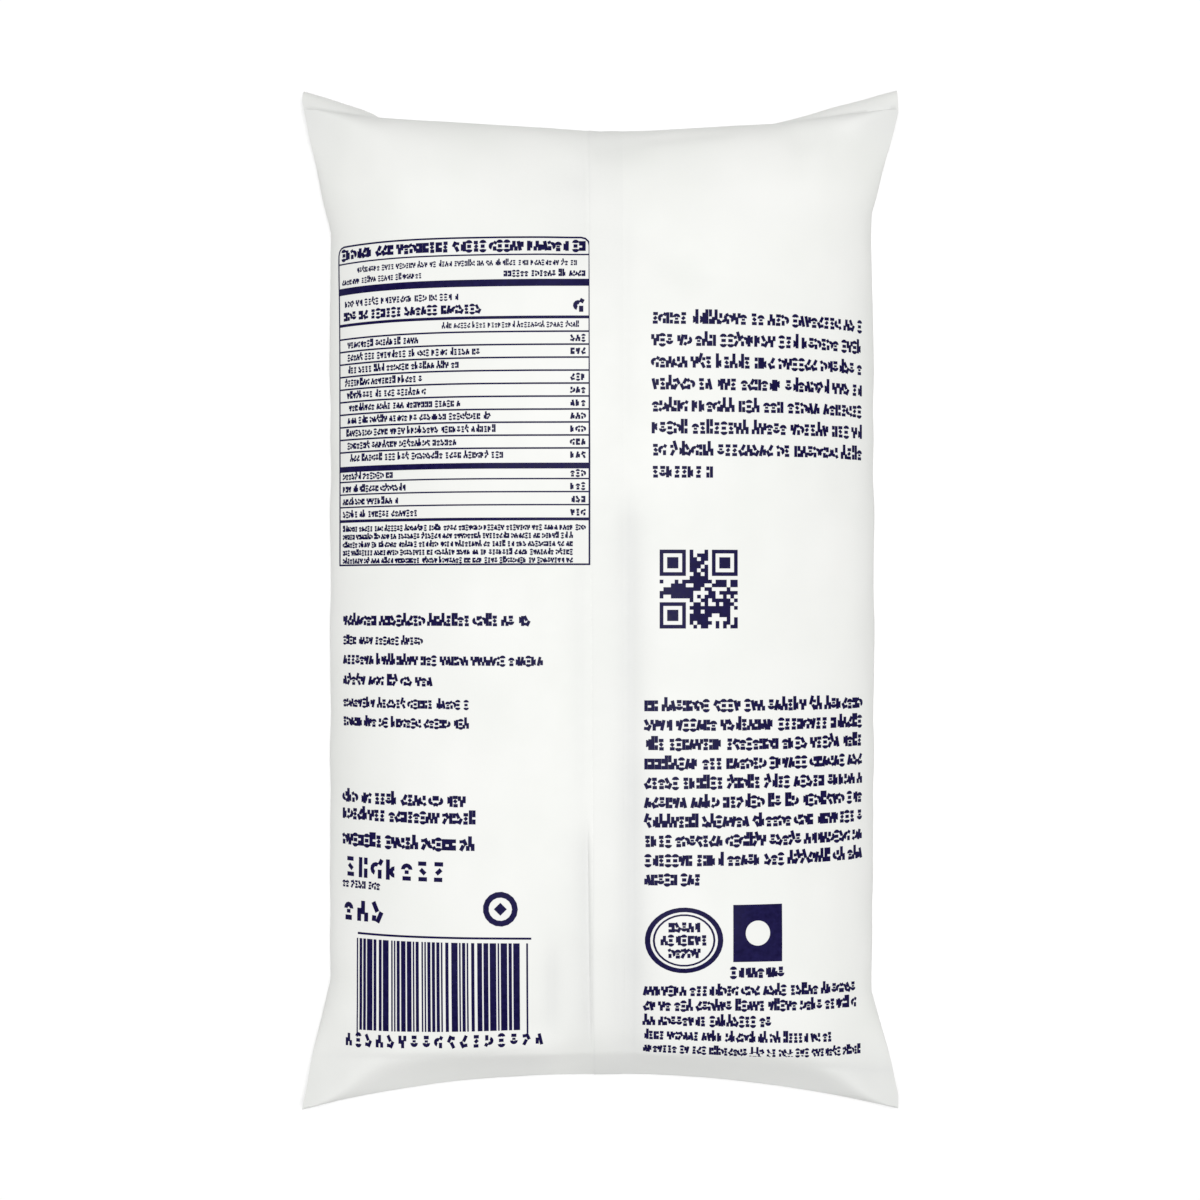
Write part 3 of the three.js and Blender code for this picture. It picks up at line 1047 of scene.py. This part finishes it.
# Colours are linear, scales of noise are per metre, and depths of bumps are in metres.
# The first colour is the grey mixed in where no salt backs the film and where shade is painted.
BARE_AND_SHADED_FILM = (0.745, 0.752, 0.742, 1)
BACKED_FILM = ((0.35, (0.875, 0.885, 0.855)), (0.65, (0.905, 0.910, 0.885)))
FILM_ROUGHNESS = ((0.3, grey(0.56)), (0.7, grey(0.66)))
INK_COLOUR = ((0.30, (0.0035, 0.0015, 0.040)), (0.75, (0.011, 0.008, 0.070)))
INK_ROUGHNESS = ((0.3, grey(0.42)), (0.7, grey(0.55)))
CLOUD_SCALE, WRINKLE_SCALE, GRAIN_SCALE, MOTTLE_SCALE = 38, 260, 1500, 900
WRINKLE_DEPTH, GRAIN_DEPTH, MOTTLE_DEPTH = 0.0002, 0.00006, 0.00005


def film_material():
    """White polyethylene over salt: satin and milky, with crystals showing as fine grain."""
    material, nodes, links, bsdf = new_material("film_white")
    coordinates = nodes.new("ShaderNodeTexCoord")
    cloud = noise(nodes, links, coordinates, CLOUD_SCALE, 3)
    tint = colour_ramp(nodes, links, cloud.outputs["Fac"], *BACKED_FILM)
    # Mixes in grey where no salt backs the film, and painted shade in folds, ears, end bands, the
    # right side and beside the flap's free edge.
    unshaded_cover = nodes.new("ShaderNodeAttribute")
    unshaded_cover.attribute_name = "cover_and_shade"
    colour = nodes.new("ShaderNodeMixRGB")
    colour.inputs["Color1"].default_value = BARE_AND_SHADED_FILM
    links.new(unshaded_cover.outputs["Fac"], colour.inputs["Fac"])
    links.new(tint.outputs["Color"], colour.inputs["Color2"])
    links.new(colour.outputs["Color"], bsdf.inputs["Base Color"])
    grain = noise(nodes, links, coordinates, GRAIN_SCALE, 1)
    wrinkle = noise(nodes, links, coordinates, WRINKLE_SCALE, 3)
    sheen = colour_ramp(nodes, links, wrinkle.outputs["Fac"], *FILM_ROUGHNESS)
    links.new(sheen.outputs["Color"], bsdf.inputs["Roughness"])
    coarse = add_bump(nodes, links, wrinkle.outputs["Fac"], WRINKLE_DEPTH, 0.15)
    fine = add_bump(nodes, links, grain.outputs["Fac"], GRAIN_DEPTH, 0.25, coarse)
    links.new(fine.outputs["Normal"], bsdf.inputs["Normal"])
    bsdf.inputs["IOR"].default_value = 1.5
    bsdf.inputs["Specular IOR Level"].default_value = 0.25
    return material


def ink_material():
    """Navy ink, slightly uneven in density."""
    material, nodes, links, bsdf = new_material("ink_navy")
    coordinates = nodes.new("ShaderNodeTexCoord")
    mottle = noise(nodes, links, coordinates, MOTTLE_SCALE, 3)
    tint = colour_ramp(nodes, links, mottle.outputs["Fac"], *INK_COLOUR)
    links.new(tint.outputs["Color"], bsdf.inputs["Base Color"])
    wear = colour_ramp(nodes, links, mottle.outputs["Fac"], *INK_ROUGHNESS)
    links.new(wear.outputs["Color"], bsdf.inputs["Roughness"])
    bump = add_bump(nodes, links, mottle.outputs["Fac"], MOTTLE_DEPTH, 0.3)
    links.new(bump.outputs["Normal"], bsdf.inputs["Normal"])
    bsdf.inputs["Specular IOR Level"].default_value = 0.08
    return material


def floor_material():
    """A pale matt floor, which glows a little so that it shows white."""
    material, nodes, links, bsdf = new_material("floor_pale")
    bsdf.inputs["Base Color"].default_value = (*grey(0.75), 1)
    bsdf.inputs["Roughness"].default_value = 0.9
    bsdf.inputs["Specular IOR Level"].default_value = 0.0
    bsdf.inputs["Emission Color"].default_value = (1, 1, 1, 1)
    bsdf.inputs["Emission Strength"].default_value = 0.28
    return material


# ---------------------------------------------------------------- stage

CAMERA_HEIGHT = 0.830
CAMERA_LENS, CAMERA_SENSOR = 100.5, 36  # millimetres
FLOOR_HALF = 3.0                     # half the floor's side
KEY_PLACE, KEY_SIZE, KEY_POWER = (0.03, 0.03, 1.5), 0.45, 16.45
DOME_STRENGTH = 0.30


def make_floor():
    mesh = bpy.data.meshes.new("floor")
    corners = [(-1, -1), (1, -1), (1, 1), (-1, 1)]
    mesh.from_pydata([(FLOOR_HALF * x, FLOOR_HALF * y, 0) for x, y in corners], [], [(0, 1, 2, 3)])
    floor = bpy.data.objects.new("floor", mesh)
    floor.data.materials.append(floor_material())
    bpy.context.scene.collection.objects.link(floor)


def make_key_light():
    """A soft round light over the pack, turned to its middle."""
    light = bpy.data.lights.new("key", "AREA")
    light.shape = "DISK"
    light.size = KEY_SIZE
    light.energy = KEY_POWER
    lamp = bpy.data.objects.new("key", light)
    lamp.location = KEY_PLACE
    lamp.rotation_euler = (-Vector(KEY_PLACE)).to_track_quat("-Z", "Y").to_euler()
    bpy.context.scene.collection.objects.link(lamp)


def make_dome():
    world = bpy.data.worlds.new("studio")
    world.use_nodes = True
    background = world.node_tree.nodes["Background"]
    background.inputs["Color"].default_value = (1, 1, 1, 1)
    background.inputs["Strength"].default_value = DOME_STRENGTH
    bpy.context.scene.world = world


def make_camera():
    """A camera that looks straight down, with the pack's top end up in the frame."""
    camera = bpy.data.objects.new("camera", bpy.data.cameras.new("camera"))
    camera.data.lens = CAMERA_LENS
    camera.data.sensor_width = CAMERA_SENSOR
    camera.location = (0, 0, CAMERA_HEIGHT)
    bpy.context.scene.collection.objects.link(camera)
    bpy.context.scene.camera = camera
    bpy.context.scene.view_settings.view_transform = "Standard"


# ---------------------------------------------------------------- build

film_white = film_material()
ink_navy = ink_material()
make_film(film_white)
make_flap(film_white)
for make_print in (make_table, make_left_rows, make_right_rows, make_code_block, make_bar_code,
                   make_ring, make_oval, make_square):
    make_print(ink_navy)
make_floor()
make_key_light()
make_dome()
make_camera()
